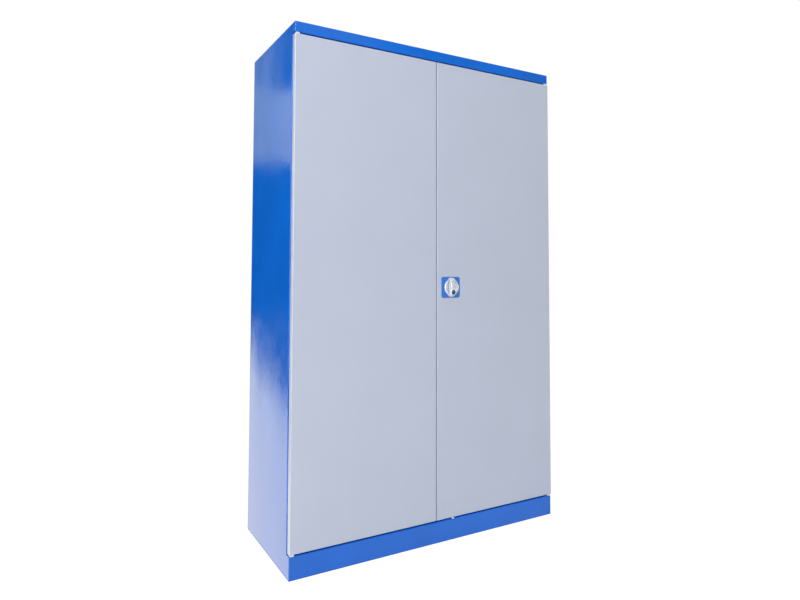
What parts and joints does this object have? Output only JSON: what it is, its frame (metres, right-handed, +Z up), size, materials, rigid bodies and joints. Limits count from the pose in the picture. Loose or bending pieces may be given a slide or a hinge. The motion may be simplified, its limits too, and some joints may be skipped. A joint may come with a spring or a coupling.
{
  "type": "tool cabinet",
  "caption": "Tall sheet-steel tool cabinet with hinged doors, adjustable shelves and a turning knob that works top and bottom bolts through a rack and pinion.",
  "frame": {"origin": "on the floor under the middle of the whole object, turning knob included", "axes": "+Z up, the doors face -Y, +X to the right of someone who faces the doors"},
  "size_m": [1.2, 0.528, 1.95],
  "materials": {
    "carcass_paint": "deep blue powder coat, glossy, fine orange peel",
    "door_paint": "light grey powder coat, semi-gloss",
    "galvanised_sheet": "galvanised sheet steel, matt with a faint spangle",
    "zinc_plated_steel": "bright zinc-plated steel",
    "handle_zinc": "satin chrome on zinc die casting",
    "barrel_metal": "dark turned metal",
    "plate_plastic": "blue moulded plastic",
    "bush_nylon": "natural nylon",
    "buffer_rubber": "black rubber"
  },
  "bodies": {
    "carcass": {"left_side": "carcass_paint", "right_side": "carcass_paint", "plinth_front": "carcass_paint", "top_fascia": "carcass_paint", "roof_panel": "carcass_paint", "back_panel": "carcass_paint", "floor_panel": "carcass_paint", "roof_stiffener": "carcass_paint", "left_front_strip": "galvanised_sheet", "left_rear_strip": "galvanised_sheet", "right_front_strip": "galvanised_sheet", "right_rear_strip": "galvanised_sheet", "shelf_1": "galvanised_sheet", "shelf_2": "galvanised_sheet", "shelf_3": "galvanised_sheet", "shelf_4": "galvanised_sheet", "shelf_stiffeners": "galvanised_sheet", "shelf_clips": "galvanised_sheet", "pivot_brackets": "zinc_plated_steel", "door_buffers": "buffer_rubber"},
    "left_door": {"left_door_panel": "door_paint", "left_door_stiffener": "door_paint", "left_door_bushes": "bush_nylon", "striker_plate": "door_paint"},
    "right_door": {"right_door_panel": "door_paint", "right_door_stiffener": "door_paint", "right_door_bushes": "bush_nylon", "handle_plate": "plate_plastic", "lock_case": "zinc_plated_steel", "case_screws": "zinc_plated_steel", "rod_guides": "zinc_plated_steel", "rod_bushes": "bush_nylon"},
    "handle": {"knob": "handle_zinc", "barrel_housing": "handle_zinc", "spindle": "zinc_plated_steel", "pinion": "zinc_plated_steel", "tongue": "zinc_plated_steel", "tongue_nut": "zinc_plated_steel"},
    "key_cylinder": {"key_barrel": "barrel_metal"},
    "upper_rod": {"upper_rack": "zinc_plated_steel", "upper_rod": "zinc_plated_steel"},
    "lower_rod": {"lower_rack": "zinc_plated_steel", "lower_rod": "zinc_plated_steel"}
  },
  "joints": [
    {"name": "left_door_hinge", "type": "hinge", "parent": "carcass", "child": "left_door", "pos_m": [-0.589, -0.229, 0.9955], "axis": [0, 0, -1], "range_deg": [0, 110]},
    {"name": "right_door_hinge", "type": "hinge", "parent": "carcass", "child": "right_door", "pos_m": [0.589, -0.229, 0.9955], "axis": [0, 0, 1], "range_deg": [0, 110]},
    {"name": "handle_turn", "type": "hinge", "parent": "right_door", "child": "handle", "pos_m": [0.066, -0.24, 0.9955], "axis": [0, 1, 0], "range_deg": [0, 90]},
    {"name": "upper_rod_slide", "type": "slide", "parent": "right_door", "child": "upper_rod", "axis": [0, 0, 1], "range_m": [0, 0.01886]},
    {"name": "lower_rod_slide", "type": "slide", "parent": "right_door", "child": "lower_rod", "axis": [0, 0, -1], "range_m": [0, 0.01886]},
    {"name": "cylinder_turn", "type": "hinge", "parent": "handle", "child": "key_cylinder", "pos_m": [0.066, -0.255, 0.9765], "axis": [0, 1, 0], "range_deg": [0, 90]}
  ],
  "couplings": [
    {"joint": "upper_rod_slide", "follows": "handle_turn", "m_per_rad": 0.012},
    {"joint": "lower_rod_slide", "follows": "handle_turn", "m_per_rad": 0.012}
  ]
}
